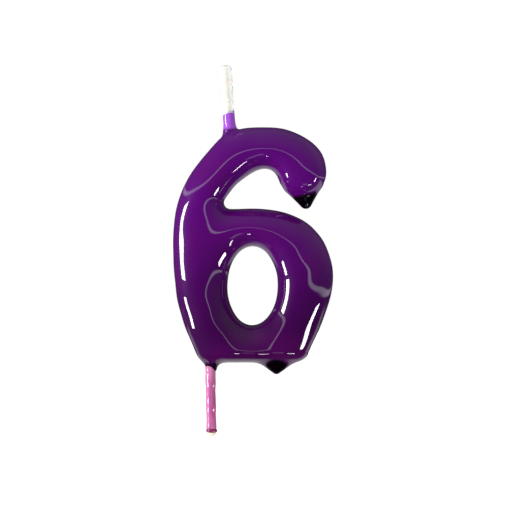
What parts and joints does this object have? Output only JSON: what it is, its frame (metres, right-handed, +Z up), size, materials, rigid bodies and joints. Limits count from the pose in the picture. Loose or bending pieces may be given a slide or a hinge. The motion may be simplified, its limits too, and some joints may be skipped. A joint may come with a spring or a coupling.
{
  "type": "number birthday candle",
  "caption": "Figure-six birthday candle: a rounded wax numeral in gloss lacquer with hardened drips, a stiffened wick on top and a cake pick under its base.",
  "frame": {"origin": "root of the cake pick: on its axis, level with the underside of the lip that rests on the cake", "axes": "+Z up along the figure's height, +X across it to the reader's right, -Y is the front that the six is read from"},
  "size_m": [0.0483, 0.013, 0.1121],
  "materials": {
    "wax": "satin",
    "lacquer": "gloss",
    "lacquer_thin": "gloss",
    "lacquer_film": "gloss",
    "lacquer_pooled": "gloss",
    "cotton": "matte",
    "primer_wax": "satin",
    "pick_plastic": "satin"
  },
  "bodies": {
    "root": {"wax_core": "wax", "gloss_coat": "lacquer", "wick": "cotton", "wick_wax_sheath": "primer_wax", "wick_collar": "lacquer_thin", "cake_pick": "pick_plastic", "pick_film": "lacquer_film", "pick_tip_bead": "lacquer_pooled", "base_lip": "lacquer", "base_drip": "lacquer_pooled", "arm_drip": "lacquer_pooled"}
  },
  "joints": []
}
